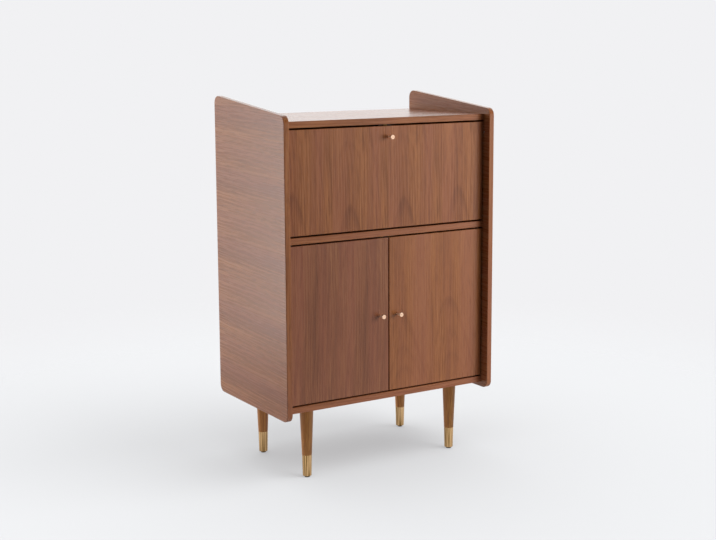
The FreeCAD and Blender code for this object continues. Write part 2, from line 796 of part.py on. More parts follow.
strike = turned("strike_pattern", [
    (0, "-strike_nail_length"),
    ("strike_nail_diameter / 2", "-strike_nail_length"),
    ("strike_nail_diameter / 2", 0),
    ("strike_diameter / 2", 0),
    ("strike_diameter / 2", "strike_thickness"),
    (0, "strike_thickness"),
])


def knob_and_strikes(body, name, knob_at, strikes_at):
    """Drill a door or flap for its knob and strikes, then fit them."""
    def local(x, z):
        base_x, base_z = PIVOTS[name]
        return "(%s) - (%s)" % (x, base_x), "(%s) - (%s)" % (z, base_z)

    # bores from the back face go forward
    for diameter, depth in (
            ("knob_screw_head_diameter", "knob_screw_head_depth"),
            ("knob_screw_diameter", "front_thickness")):
        sketch = circles(body, "XZ_Plane", [local(*knob_at)], diameter, "-half_front")
        pocket(body, sketch, depth, along=True)
    nails = [local(*at) for at in strikes_at]
    sketch = circles(body, "XZ_Plane", nails, "strike_nail_diameter", "-half_front")
    pocket(body, sketch, "strike_nail_length", along=True)
    copies(name + "_knob", knob, [(knob_at[0], "front_face", knob_at[1], "-Y")])
    copies(name + "_knob_screw", knob_screw, [(knob_at[0], "front_face", knob_at[1], "-Y")])
    copies(name + "_strike", strike, [(x, "front_back", z, "+Y") for x, z in strikes_at])


PIVOTS = {
    "flap": (0, "flap_pivot_z"),
    "door_left": ("-door_pivot_x", "bottom_top + door_gap"),
    "door_right": ("door_pivot_x", "bottom_top + door_gap"),
}

# ------------------------------------------------------------------------- flap
FLAP_HALF = "side_inner - side_gap"
flap = slab(
    "flap_panel",
    (minus(FLAP_HALF), "-half_front", "-flap_pivot_in"),
    (FLAP_HALF, "half_front", "flap_height - flap_pivot_in"),
    y="pivot_plane", z="flap_pivot_z")
node(flap)
ease(flap, "Y", ("-half_front", "half_front"))
for hand, sign in HANDS:
    end = circles(flap, "YZ_Plane", [(0, 0)], "pivot_diameter", mirrored(sign, FLAP_HALF))
    pocket(flap, end, "pivot_bury", along=sign < 0)
knob_and_strikes(flap, "flap", (0, "knob_flap_z"), [(0, "flap_catch_z")])
copies("flap_pivot_pins", flap_pin, [
    (mirrored(sign, FLAP_HALF), "pivot_plane", "flap_pivot_z", toward_side(sign)) for hand, sign in HANDS
])

# ------------------------------------------------------------------------ doors
for hand, sign in HANDS:
    name = "door_" + hand
    edge_x = mirrored(sign, "door_pivot_in")
    door = slab(
        name + "_panel",
        (mirrored(sign, "-door_reach"), "-half_front", 0),
        (edge_x, "half_front", "door_height"),
        x=PIVOTS[name][0], y="pivot_plane", z=PIVOTS[name][1])
    node(door)
    ease(door, "Y", ("-half_front", "half_front"))
    for height, along in ((0, True), ("door_height", False)):
        pocket(door, circles(door, "XY_Plane", [(0, 0)], "pivot_diameter", height), "pivot_bury", along=along)
    knob_x = mirrored(sign, "meeting_gap / 2 + door_knob_offset")
    strike_x = mirrored(sign, "meeting_gap / 2 + strike_edge_space + strike_diameter / 2")
    knob_and_strikes(door, name, (knob_x, "knob_door_z"), [(strike_x, "door_catch_z")])
    copies(name + "_pivot_pins", door_pin, [
        (PIVOTS[name][0], "pivot_plane", "middle_under - door_gap", "+Z"),
        (PIVOTS[name][0], "pivot_plane", "bottom_top + door_gap", "-Z"),
    ])

# -------------------------------------------------------------------- flap stays
stud_pattern = turned("stay_stud_pattern", [
    (0, "stud_screw_length"),
    ("stud_screw_diameter / 2", "stud_screw_length"),
    ("stud_screw_diameter / 2", 0),
    ("stud_head_diameter / 2", 0),
    ("stud_head_diameter / 2", "arm_clearance - arm_side_space"),
    ("stud_diameter / 2", "arm_clearance - arm_side_space"),
    ("stud_diameter / 2", "-arm_side_space - arm_thickness - arm_clearance"),
    ("stud_head_diameter / 2", "-arm_side_space - arm_thickness - arm_clearance"),
    ("stud_head_diameter / 2", "-arm_side_space - arm_thickness - arm_clearance - stud_head_thickness"),
    (0, "-arm_side_space - arm_thickness - arm_clearance - stud_head_thickness"),
])
copies("stay_studs", stud_pattern, [
    (mirrored(sign, "side_inner"), STUD_Y, STUD_Z, toward_side(sign)) for hand, sign in HANDS
])

STAY_Y = "pivot_plane + stay_pin_back"
STAY_Z = "flap_pivot_z + stay_pin_up"
ARM_END = "stay_long + stud_diameter / 2 + slot_clearance + arm_end_wall"


def rounded_bar(body, start, end, width, offset):
    """Sketch a straight bar with round ends along the body's own Y axis."""
    sketch = sketch_on(body, "YZ_Plane", offset)
    low, high, half = value(start), value(end), value(width) / 2
    up = Vector(1, 0, 0)
    sketch.addGeometry(Part.LineSegment(Vector(low, -half, 0), Vector(high, -half, 0)), False)
    sketch.addGeometry(Part.LineSegment(Vector(low, half, 0), Vector(high, half, 0)), False)
    near = Part.Circle(Vector(low, 0, 0), Vector(0, 0, 1), half)
    far = Part.Circle(Vector(high, 0, 0), Vector(0, 0, 1), half)
    quarter = math.pi / 2
    sketch.addGeometry(Part.ArcOfCircle(near, quarter, 3 * quarter), False)
    sketch.addGeometry(Part.ArcOfCircle(far, -quarter, quarter), False)
    for pair in ((0, 1, 2, 2), (1, 1, 2, 1), (0, 2, 3, 1), (1, 2, 3, 2)):
        sketch.addConstraint(Sketcher.Constraint("Tangent", *pair))
    sketch.addConstraint(Sketcher.Constraint("PointOnObject", 2, 3, -1))
    sketch.addConstraint(Sketcher.Constraint("PointOnObject", 3, 3, -1))
    bind(sketch, "DistanceX", -1, 1, 2, 3, start)
    bind(sketch, "DistanceX", -1, 1, 3, 3, end)
    bind(sketch, "Radius", 2, "(%s) / 2" % width)
    return sketch


def stay_arm(hand, sign):
    """The slotted arm, from its pin on the flap past the stud on the side."""
    body = new_body("stay_arm_" + hand, mirrored(sign, "arm_face"), STAY_Y, STAY_Z)
    body.Placement = FreeCAD.Placement(body.Placement.Base, Rotation(Vector(-1, 0, 0), 1))
    body.setExpression("Placement.Rotation.Angle", full("stay_slope"))
    inward = sign > 0
    pad(body, rounded_bar(body, 0, ARM_END + " - arm_width / 2", "arm_width", 0), "arm_thickness", back=inward)
    doc.recompute()
    slot = rounded_bar(body, "stay_short", "stay_long", "stud_diameter + 2 * slot_clearance", 0)
    pocket(body, slot, "arm_thickness", along=not inward)
    hole = circles(body, "YZ_Plane", [(0, 0)], "rivet_diameter + 2 * rivet_clearance")
    pocket(body, hole, "arm_thickness", along=not inward)
    return node(body)


for hand, sign in HANDS:
    stay_arm(hand, sign)


def bracket(hand, sign):
    """An angle bracket: its foot on the flap's inner face, its ear beside the arm."""
    body = new_body("bracket_" + hand, mirrored(sign, "ear_face"), "front_back", STAY_Z)
    reach = "stay_pin_back - half_front"
    inner_x = mirrored(sign, "-bracket_width")
    foot = outline(body, "XZ_Plane", [
        (0, "-bracket_height / 2"), (0, "bracket_height / 2"),
        (inner_x, "bracket_height / 2"), (inner_x, "-bracket_height / 2"),
    ])
    pad(body, foot, "bracket_thickness", back=True)
    ear = outline(body, "YZ_Plane", [
        (0, "-bracket_ear_height / 2"), (reach, "-bracket_ear_height / 2"),
        (reach + " + bracket_ear_corner", "bracket_ear_corner - bracket_ear_height / 2"),
        (reach + " + bracket_ear_corner", "bracket_ear_height / 2 - bracket_ear_corner"),
        (reach, "bracket_ear_height / 2"), (0, "bracket_ear_height / 2"),
    ])
    pad(body, ear, "bracket_thickness", back=sign > 0)
    doc.recompute()
    hole = circles(body, "YZ_Plane", [(reach, 0)], "rivet_diameter")
    pocket(body, hole, "bracket_thickness", along=sign < 0)
    middle = mirrored(sign, "-bracket_width / 2 - bracket_thickness / 2")
    spots = [(middle, "bracket_screw_spacing / 2"), (middle, "-bracket_screw_spacing / 2")]
    pocket(body, circles(body, "XZ_Plane", spots, "bracket_screw_diameter"), "bracket_thickness")
    return body


brackets = doc.addObject("Part::Compound", "flap_stay_brackets")
brackets.Label = "flap_stay_brackets"
brackets.Links = [bracket(hand, sign) for hand, sign in HANDS]
node(brackets)

BRACKET_SCREW_X = "ear_face - bracket_width / 2 - bracket_thickness / 2"
bracket_screw_places = [
    (mirrored(sign, BRACKET_SCREW_X), STAY_Z + shift)
    for hand, sign in HANDS for shift in (" + bracket_screw_spacing / 2", " - bracket_screw_spacing / 2")
]
flap_local = [(x, "(%s) - flap_pivot_z" % z) for x, z in bracket_screw_places]
pocket(flap, circles(flap, "XZ_Plane", flap_local, "bracket_screw_diameter", "-half_front"),
       "bracket_screw_length - bracket_thickness", along=True)
bracket_screw = turned("bracket_screw_pattern", [
    (0, "bracket_screw_head_thickness"),
    ("bracket_screw_head_diameter / 2", "bracket_screw_head_rim"),
    ("bracket_screw_head_diameter / 2", 0),
    ("bracket_screw_diameter / 2", 0),
    ("bracket_screw_diameter / 2", "-bracket_screw_length"),
    (0, "-bracket_screw_length"),
])
copies("flap_bracket_screws", bracket_screw, [
    (x, "front_back + bracket_thickness", z, "+Y") for x, z in bracket_screw_places
])

rivet = turned("rivet_pattern", [
    (0, "arm_thickness + 2 * arm_clearance + rivet_head_thickness"),
    ("rivet_head_diameter / 2", "arm_thickness + 2 * arm_clearance + rivet_head_thickness"),
    ("rivet_head_diameter / 2", "arm_thickness + 2 * arm_clearance"),
    ("rivet_diameter / 2", "arm_thickness + 2 * arm_clearance"),
    ("rivet_diameter / 2", "-bracket_thickness"),
    ("rivet_head_diameter / 2", "-bracket_thickness"),
    ("rivet_head_diameter / 2", "-bracket_thickness - rivet_head_thickness"),
    (0, "-bracket_thickness - rivet_head_thickness"),
])
copies("flap_stay_rivets", rivet, [
    (mirrored(sign, "ear_face"), STAY_Y, STAY_Z, toward_side(sign)) for hand, sign in HANDS
])

# ---------------------------------------------------------------------- catches
def catch(label, level, magnet_xs):
    """A catch housing under a panel, with its magnets facing the front."""
    housing = slab(
        label + "_housing",
        ("-catch_width / 2", 0, "-catch_height"), ("catch_width / 2", "catch_depth", 0),
        y="catch_front", z=level)
    for x in magnet_xs:
        low_x, high_x = "%s - magnet_width / 2" % x, "%s + magnet_width / 2" % x
        low_z, high_z = "-catch_height / 2 - magnet_height / 2", "-catch_height / 2 + magnet_height / 2"
        mouth = outline(housing, "XZ_Plane", [
            (low_x, low_z), (high_x, low_z), (high_x, high_z), (low_x, high_z),
        ])
        pocket(housing, mouth, "magnet_depth")
    spots = [(x, "catch_depth / 2") for x in CATCH_SCREW_X]
    for diameter, depth in (
            ("catch_screw_head_diameter", "catch_screw_head_thickness"),
            ("catch_screw_diameter", "catch_height")):
        pocket(housing, circles(housing, "XY_Plane", spots, diameter, "-catch_height"), depth, along=True)
    node(housing)
    magnets = []
    for x in magnet_xs:
        magnets.append(slab(
            label + "_magnet_block",
            ("-magnet_width / 2", 0, "-magnet_height / 2"),
            ("magnet_width / 2", "magnet_depth", "magnet_height / 2"),
            x=x, y="catch_front", z=level + " - catch_height / 2"))
    group = doc.addObject("Part::Compound", label + "_magnet")
    group.Label = label + "_magnet"
    group.Links = magnets
    node(group)


catch("flap_catch", "top_under", [0])
MAGNET_OFFSET = "(magnet_width + magnet_spacing) / 2"
catch("door_catch", "middle_under", [mirrored(sign, MAGNET_OFFSET) for hand, sign in HANDS])

catch_screw = turned("catch_screw_pattern", [
    (0, 0),
    ("catch_screw_head_diameter / 2", 0),
    ("catch_screw_head_diameter / 2", "catch_screw_head_thickness"),
    ("catch_screw_diameter / 2", "catch_screw_head_thickness"),
    ("catch_screw_diameter / 2", "catch_height + catch_screw_bite"),
    (0, "catch_height + catch_screw_bite"),
])
copies("catch_screws", catch_screw, [
    (x, CATCH_SCREW_Y, level + " - catch_height", "+Z")
    for level in ("top_under", "middle_under") for x in CATCH_SCREW_X
])

side_stud = turned("side_stud_pattern", [
    (0, "side_stud_bury"),
    ("side_stud_shank / 2", "side_stud_bury"),
    ("side_stud_shank / 2", 0),
    ("side_stud_diameter / 2", 0),
    ("side_stud_face_diameter / 2", "-side_stud_rise"),
    (0, "-side_stud_rise"),
])
copies("side_studs", side_stud, [
    (mirrored(sign, "side_inner"), SIDE_STUD_Y, "knob_flap_z", toward_side(sign)) for hand, sign in HANDS
])

# ------------------------------------------------------------- check and export
doc.recompute()
faults = [item.Label for item in doc.Objects if {"Invalid", "Error"} & set(item.State)]
missed = [cut for base, cut in cuts if cut.Shape.Volume > base.Shape.Volume - LEAST_CUT]
faults += [cut.Label + " cuts nothing" for cut in missed]
for label, item in nodes.items():
    shape = item.Shape
    if shape.isNull() or not shape.isValid() or not shape.Solids:
        faults.append(label)
if faults:
    raise RuntimeError("failed objects: " + ", ".join(faults))

os.makedirs("parts", exist_ok=True)
for label, item in nodes.items():
    item.Shape.exportStep(os.path.join("parts", label + ".step"))
print(len(nodes), "nodes,", sum(len(item.Shape.Solids) for item in nodes.values()), "solids")
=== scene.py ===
"""A walnut bar cabinet: a carcass on four turned legs, a flap that folds down as a shelf, and two doors.
Lengths are in metres. X runs from the cabinet's left to its right, the front faces -Y, and Z is up."""

import math

import bpy
import numpy as np
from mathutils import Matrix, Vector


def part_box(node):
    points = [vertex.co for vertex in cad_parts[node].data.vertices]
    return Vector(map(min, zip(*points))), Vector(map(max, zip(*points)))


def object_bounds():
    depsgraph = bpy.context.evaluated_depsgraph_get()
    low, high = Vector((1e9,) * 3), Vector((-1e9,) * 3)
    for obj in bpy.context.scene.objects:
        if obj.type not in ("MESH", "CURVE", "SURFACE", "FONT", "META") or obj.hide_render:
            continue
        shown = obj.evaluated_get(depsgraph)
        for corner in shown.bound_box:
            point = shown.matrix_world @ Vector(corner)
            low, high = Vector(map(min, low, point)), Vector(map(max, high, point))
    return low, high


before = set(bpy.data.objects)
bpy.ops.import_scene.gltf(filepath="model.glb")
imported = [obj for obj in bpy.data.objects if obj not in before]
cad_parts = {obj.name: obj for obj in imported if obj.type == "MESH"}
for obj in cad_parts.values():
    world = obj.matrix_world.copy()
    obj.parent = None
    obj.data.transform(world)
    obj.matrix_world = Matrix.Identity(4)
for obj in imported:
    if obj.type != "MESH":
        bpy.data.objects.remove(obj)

cad_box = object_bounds()

# ---------------------------------------------------------------- side panels
# Two boards of 16.5 mm chipboard, veneered in American walnut with the grain from front to rear. Their front
# and rear edges are lipped with an upright strip. Stained a warm brown under a satin lacquer, which gives the
# eye thin darker lines with long tongues, rosy and golden bands, and a soft wide sheen.
WALNUT = ("#5f3216", "#86502d", "#9a5f37", "#b0764a")  # latewood, heartwood, the pale wood between, sapwood
WALNUT_BLUSH = "#8f5440"  # the rosy bands
GRAIN_RISE = math.radians(3)  # the leaves are laid a little askew, rising to the rear
GRAIN_UPRIGHT = (0.0, 0.0, 0.0)  # turns object axes so that the fibres run along the pattern's Z
GRAIN_CROSSWISE = (math.radians(-90), math.radians(-90), 0.0)  # fibres along the object's X
GRAIN_DEPTHWISE = (math.radians(90) - GRAIN_RISE, 0.0, math.radians(90))  # fibres along the object's Y
EDGE_ON = 0.7  # a face belongs to the lipping where its normal is within 45 degrees of the lipped axis
SIDE_FACE = cad_box[1][0]  # how far the outer faces stand from the middle


def linear(hex_colour):
    """'#rrggbb' in sRGB as linear red, green, blue and alpha: the sRGB curve undone, channel by channel."""
    channels = np.array([int(hex_colour[i : i + 2], 16) for i in (1, 3, 5)]) / 255
    undone = np.where(channels <= 0.04045, channels / 12.92, ((channels + 0.055) / 1.055) ** 2.4)
    return (*undone.tolist(), 1.0)


def add(tree, kind, links=(), stops=(), **settings):
    """Adds one node. settings are its own properties, and links gives each input a value or the output it
    takes. An input goes by its name, or by its number where several of the node's inputs share a name. stops
    are the (position, colour) pairs of a colour ramp."""
    node = tree.nodes.new(kind)
    for name, value in settings.items():
        setattr(node, name, value)
    for socket, value in dict(links).items():
        if isinstance(value, bpy.types.NodeSocket):
            tree.links.new(value, node.inputs[socket])
        else:
            node.inputs[socket].default_value = value
    for place, (position, colour) in enumerate(stops):
        if place >= len(node.color_ramp.elements):
            node.color_ramp.elements.new(position)
        node.color_ramp.elements[place].position = position
        node.color_ramp.elements[place].color = colour
    return node


def finish_of(name):
    """A new material with an empty node tree, its Principled shader and its output."""
    material = bpy.data.materials.new(name)
    material.use_nodes = True
    tree = material.node_tree
    tree.nodes.clear()
    shader = add(tree, "ShaderNodeBsdfPrincipled")
    output = add(tree, "ShaderNodeOutputMaterial")
    tree.links.new(shader.outputs["BSDF"], output.inputs["Surface"])
    return material, tree, shader


def dress(material, *names):
    """Gives these CAD pieces that material in every slot they have."""
    for name in names:
        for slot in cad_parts[name].material_slots:
            slot.link = "OBJECT"
            slot.material = material


# Counts are per metre: across the grain, through the board and along the grain. Fibres are 4 mm wide, and
# pores are drawn 2 mm wide where real ones are 0.2 mm, so that they show.
FIBRE_COUNT = (240.0, 240.0, 5.5)
PORE_COUNT = (480.0, 480.0, 26.0)
CLOUD_COUNT = (19.0, 19.0, 1.2)
BEND_COUNT = (2.2, 2.2, 1.6)
BEND_REACH = (0.04, 0.05, 0.0)  # how far the bends take the pith out of line
LEAF_SLIP = (0.012, 0.003, 0.05)  # how far two leaves can lie out of step
RUN_COUNT = 45.0  # runs of wide or of narrow years, per metre from the pith
RUN_YEARS = 3.5  # how many years such a run can gain
LATEWOOD = ((0.0, 0.35), (0.14, 0.0), (0.60, 0.1), (0.90, 1.0), (1.0, 0.35))  # where in a year, and how dark
SHADES_AT = (0.32, 0.52, 0.66, 0.86)  # the tones at which a timber has each of its four shades
MEAN_TONE = 0.65
ROSY_SHARE = 0.45  # how far the rosy bands go to the blush
GRAIN_DEPTH = 0.0002
LACQUER_IOR = 1.4  # a thin satin lacquer
NOISE_SPAN = {"From Min": 0.3, "From Max": 0.7}  # nearly all of a noise about 0.5 lies between these
PORE_SPAN = {"From Min": 0.56, "From Max": 0.72}  # where the noise of the pores rises from closed to open
ROSY_SPAN = {"From Min": 0.45, "From Max": 0.62}  # and where that of the clouds rises to the rosy share
SHEEN_BELOW, SHEEN_ABOVE = 0.05, 0.06  # how far the roughness goes from its mean, on dark fibres and on pale


def drawn_out(tree, place, count, detail, roughness=0.5):
    """Noise in long streaks, count of them side by side in a metre along each axis."""
    stretched = add(tree, "ShaderNodeMapping", {"Vector": place, "Scale": count}).outputs[0]
    noise = {"Vector": stretched, "Scale": 1.0, "Detail": detail, "Roughness": roughness}
    return add(tree, "ShaderNodeTexNoise", noise).outputs


def in_leaves(tree, place, leaf):
    """The place within a leaf of veneer as wide as leaf, slipped a little at random from leaf to leaf."""
    across = add(tree, "ShaderNodeSeparateXYZ", {0: place}).outputs["X"]
    leaves = add(tree, "ShaderNodeMath", {0: across, 1: leaf}, operation="DIVIDE").outputs[0]
    number = add(tree, "ShaderNodeMath", {0: leaves}, operation="FLOOR").outputs[0]
    back = add(tree, "ShaderNodeMath", {0: number, 1: -leaf}, operation="MULTIPLY").outputs[0]
    step = add(tree, "ShaderNodeCombineXYZ", {"X": back}).outputs[0]
    own = add(tree, "ShaderNodeTexWhiteNoise", {"W": number}, noise_dimensions="1D").outputs["Color"]
    slipped = {0: own, 1: LEAF_SLIP, 2: step}
    step = add(tree, "ShaderNodeVectorMath", slipped, operation="MULTIPLY_ADD").outputs[0]
    return add(tree, "ShaderNodeVectorMath", {0: place, 1: step}, operation="ADD").outputs[0]


def year_lines(tree, place, pith, lean, ring):
    """The dark ends of the years, each with a strength of its own. The years are the distance from the pith
    over the mean width of a ring, plus a slow noise that makes runs of wide and of narrow ones."""
    log = {"Vector": place, "Location": (-pith[0], -pith[1], 0.0), "Rotation": (lean, 0.0, 0.0)}
    log = add(tree, "ShaderNodeMapping", log).outputs[0]
    spoke = add(tree, "ShaderNodeVectorMath", {0: log, 1: (1.0, 1.0, 0.0)}, operation="MULTIPLY").outputs[0]
    radius = add(tree, "ShaderNodeVectorMath", {0: spoke}, operation="LENGTH").outputs["Value"]
    runs = {"W": radius, "Scale": RUN_COUNT, "Detail": 1.0}
    runs = add(tree, "ShaderNodeTexNoise", runs, noise_dimensions="1D").outputs[0]
    gained = add(tree, "ShaderNodeMath", {0: runs, 1: RUN_YEARS}, operation="MULTIPLY").outputs[0]
    years = {0: radius, 1: 1.0 / ring, 2: gained}
    years = add(tree, "ShaderNodeMath", years, operation="MULTIPLY_ADD").outputs[0]
    within = add(tree, "ShaderNodeMath", {0: years}, operation="FRACT").outputs[0]
    year = add(tree, "ShaderNodeMath", {0: years}, operation="FLOOR").outputs[0]
    strength = add(tree, "ShaderNodeTexWhiteNoise", {"W": year}, noise_dimensions="1D").outputs["Value"]
    darkness = [(position, (dark, dark, dark, 1.0)) for position, dark in LATEWOOD]
    latewood = add(tree, "ShaderNodeValToRGB", {"Fac": within}, darkness).outputs[0]
    return add(tree, "ShaderNodeMath", {0: latewood, 1: strength}, operation="MULTIPLY").outputs[0]


def timber(
    name, shades, blush, turn, pith, lean, ring, leaf, shift=0.0, lip=None,
    lines=0.12, fibres=0.8, clouds=0.35, fleck=0.30, gloss=0.27,
):
    """Wood sawn or sliced from a log: its rings are circles about a pith line, so a face shows straight lines
    far from the pith and tongues near it. turn lays the pattern's Z along the fibres. pith is where the log's
    centre lies, across the face and through it, and lean is how it tilts to the face. ring is the mean width
    of a year. Leaves as wide as leaf repeat side by side, each a little out of step. lip is (turn, axis) for
    an edge strip on the faces that look along that axis. lines, fibres, clouds and fleck are how much the
    years' ends, the fibres, the clouds and the pores show, gloss is the lacquer's mean roughness."""
    material, tree, shader = finish_of(name)
    coordinates = add(tree, "ShaderNodeTexCoord")
    here = coordinates.outputs["Object"]
    face = add(tree, "ShaderNodeMapping", {"Vector": here, "Rotation": turn, "Location": (0.0, 0.0, shift)})
    place = face.outputs[0]
    if lip is not None:
        strip = {"Vector": here, "Rotation": lip[0], "Location": (0.0, 0.0, shift)}
        strip = add(tree, "ShaderNodeMapping", strip)
        facing = add(tree, "ShaderNodeSeparateXYZ", {0: coordinates.outputs["Normal"]})
        square_on = add(tree, "ShaderNodeMath", {0: facing.outputs[lip[1]]}, operation="ABSOLUTE")
        is_lip = add(tree, "ShaderNodeMath", {0: square_on.outputs[0], 1: EDGE_ON}, operation="GREATER_THAN")
        sorts = {0: is_lip.outputs[0], 4: place, 5: strip.outputs[0]}
        place = add(tree, "ShaderNodeMix", sorts, data_type="VECTOR").outputs[1]
    place = in_leaves(tree, place, leaf)

    # a place in the log, whose pith wanders by some centimetres over the length of a board
    bends = drawn_out(tree, place, BEND_COUNT, detail=2.0, roughness=0.35)["Color"]
    bent = {0: bends, 1: BEND_REACH, 2: place}
    bent = add(tree, "ShaderNodeVectorMath", bent, operation="MULTIPLY_ADD").outputs[0]
    line = year_lines(tree, bent, pith, lean, ring)
    fibre = drawn_out(tree, bent, FIBRE_COUNT, detail=3.0, roughness=0.6)[0]
    cloud = drawn_out(tree, bent, CLOUD_COUNT, detail=1.5)
    pores = {"Value": drawn_out(tree, bent, PORE_COUNT, detail=1.0)[0], **PORE_SPAN}
    pores = add(tree, "ShaderNodeMapRange", pores).outputs[0]

    # tone: pale with the clouds and fibres, dark at the end of each year and in the pores
    tone = {0: cloud[0], 1: clouds, 2: MEAN_TONE - (fibres + clouds) / 2}
    tone = add(tree, "ShaderNodeMath", tone, operation="MULTIPLY_ADD").outputs[0]
    tone = add(tree, "ShaderNodeMath", {0: fibre, 1: fibres, 2: tone}, operation="MULTIPLY_ADD").outputs[0]
    tone = add(tree, "ShaderNodeMath", {0: line, 1: -lines, 2: tone}, operation="MULTIPLY_ADD").outputs[0]
    shade = [(at, linear(colour)) for at, colour in zip(SHADES_AT, shades)]
    colour = add(tree, "ShaderNodeValToRGB", {"Fac": tone}, shade).outputs[0]
    rosy = {"Value": cloud["Color"], **ROSY_SPAN, "To Max": ROSY_SHARE}
    rosy = add(tree, "ShaderNodeMapRange", rosy).outputs[0]
    colour = add(tree, "ShaderNodeMix", {0: rosy, 6: colour, 7: linear(blush)}, data_type="RGBA").outputs[2]
    open_pores = add(tree, "ShaderNodeMath", {0: pores, 1: fleck}, operation="MULTIPLY").outputs[0]
    darkened = {0: open_pores, 6: colour, 7: linear(shades[0])}
    colour = add(tree, "ShaderNodeMix", darkened, data_type="RGBA").outputs[2]
    tree.links.new(colour, shader.inputs["Base Color"])

    # surface: a little duller on the pale fibres, and sunk in the pores
    sheen = {"To Min": gloss - SHEEN_BELOW, "To Max": gloss + SHEEN_ABOVE}
    sheen = add(tree, "ShaderNodeMapRange", {"Value": fibre, **NOISE_SPAN, **sheen}).outputs[0]
    tree.links.new(sheen, shader.inputs["Roughness"])
    relief = add(tree, "ShaderNodeMath", {0: pores, 1: -1.0, 2: fibre}, operation="MULTIPLY_ADD").outputs[0]
    bump = add(tree, "ShaderNodeBump", {"Strength": 0.25, "Distance": GRAIN_DEPTH, "Height": relief})
    tree.links.new(bump.outputs[0], shader.inputs["Normal"])
    shader.inputs["IOR"].default_value = LACQUER_IOR
    return material


left_side = timber(
    "walnut_veneer_left_side", WALNUT, WALNUT_BLUSH, GRAIN_DEPTHWISE,
    pith=(0.11, 0.20 - SIDE_FACE), lean=math.radians(3), ring=0.008, leaf=0.190, shift=-0.37,
    lip=(GRAIN_UPRIGHT, "Y"), lines=0.08, fibres=0.6, clouds=0.42, fleck=0.5,
)
dress(left_side, "side_panel_left")
right_side = timber(
    "walnut_veneer_right_side", WALNUT, WALNUT_BLUSH, GRAIN_DEPTHWISE,
    pith=(0.07, SIDE_FACE + 0.30), lean=0.0, ring=0.012, leaf=0.205, shift=0.37,
    lip=(GRAIN_UPRIGHT, "Y"), lines=0.05, fibres=0.42, fleck=0.2,
)
dress(right_side, "side_panel_right")

# ---------------------------------------------------------------- cross panels
# The top, the middle and the bottom are 18 mm boards between the sides. Their veneer runs from side to side,
# on the faces and on the front lipping alike, so the edges show long level lines.
cross_walnut = timber(
    "walnut_veneer_cross_panels", WALNUT, WALNUT_BLUSH, GRAIN_CROSSWISE,
    pith=(0.05, 0.62), lean=0.0, ring=0.009, leaf=0.21, shift=0.4,
)
dress(cross_walnut, "top_panel", "middle_panel", "bottom_panel")

# ---------------------------------------------------------------- back panel
# A 6 mm sheet of hardboard in a rebate, painted brown and screwed on from the rear. The paint is thin and
# nearly matt, so the pressed fibres below give it a fine, slightly cloudy mottle.
HARDBOARD_PAINT = "#6b4a35"
SPECK_ENDS = (0.35, 0.65)  # where the noise of a mottle has turned dark and where pale
SPECK_ABOVE, SPECK_BELOW = 0.06, 0.04  # how far the roughness goes from its mean, where dark and where pale


def speckled(name, colour, roughness, metallic=0.0, grain=0.0025, shade=0.85, depth=0.00005):
    """A material with a fine even mottle: noise of that grain size, in metres, makes it darker by shade and
    duller where it is dark, and lifts it by depth."""
    material, tree, shader = finish_of(name)
    here = add(tree, "ShaderNodeTexCoord").outputs["Object"]
    specks = add(tree, "ShaderNodeTexNoise", {"Vector": here, "Scale": 1.0 / grain, "Detail": 3.0}).outputs[0]
    full = linear(colour)
    less = (*(channel * shade for channel in full[:3]), 1.0)
    tones = zip(SPECK_ENDS, (less, full))
    tint = add(tree, "ShaderNodeValToRGB", {"Fac": specks}, tones).outputs[0]
    tree.links.new(tint, shader.inputs["Base Color"])
    ends = {"To Min": roughness + SPECK_ABOVE, "To Max": roughness - SPECK_BELOW}
    dull = add(tree, "ShaderNodeMapRange", {"Value": specks, **NOISE_SPAN, **ends}).outputs[0]
    tree.links.new(dull, shader.inputs["Roughness"])
    bump = add(tree, "ShaderNodeBump", {"Strength": 0.3, "Distance": depth, "Height": specks})
    tree.links.new(bump.outputs[0], shader.inputs["Normal"])
    shader.inputs["Metallic"].default_value = metallic
    return material


painted = speckled(
    "brown_painted_hardboard", HARDBOARD_PAINT, roughness=0.5, grain=0.006, shade=0.8, depth=0.0001,
)
dress(painted, "back_panel")

# ---------------------------------------------------------------- screws and shelf pins
# Cold-headed steel, zinc plated and clear passivated: a bright grey with a faint mottle, as the crystals of
# the plating scatter the light, and slightly duller patches where it was handled.
PLATED_STEEL = "#b4b4b0"
plated_steel = speckled("zinc_plated_steel", PLATED_STEEL, roughness=0.34, metallic=1.0)
dress(plated_steel, "back_panel_screws", "shelf_pins")

# ---------------------------------------------------------------- inner shelf
# A 16 mm board that lies loose on four pins in the cupboard, so that it can be lifted out. It is veneered
# like the cross panels, with the grain from side to side.
shelf_walnut = timber(
    "walnut_veneer_shelf", WALNUT, WALNUT_BLUSH, GRAIN_CROSSWISE,
    pith=(0.12, 0.40), lean=math.radians(2), ring=0.009, leaf=0.23, shift=1.1,
)
dress(shelf_walnut, "inner_shelf")

# ---------------------------------------------------------------- cam locks, cam bolts and dowels
# What joins the cross panels to the sides: cams cast in zinc alloy, dull grey with a cast skin, turned steel
# bolts, and fluted beech dowels, pale and dry.
cast_zinc = speckled("die_cast_zinc", "#8f8f8c", roughness=0.5, metallic=1.0, grain=0.0012)
dress(cast_zinc, "cam_locks")
dress(plated_steel, "cam_bolts")
PALE_BEECH = ("#a98258", "#c19a6c", "#cda87b", "#d8b78c")
pale_beech = timber(
    "plain_beech_dowels", PALE_BEECH, "#c2966e", GRAIN_CROSSWISE,
    pith=(0.3, 0.5), lean=0.0, ring=0.003, leaf=0.5, lines=0.15, gloss=0.6,
)
dress(pale_beech, "dowels")

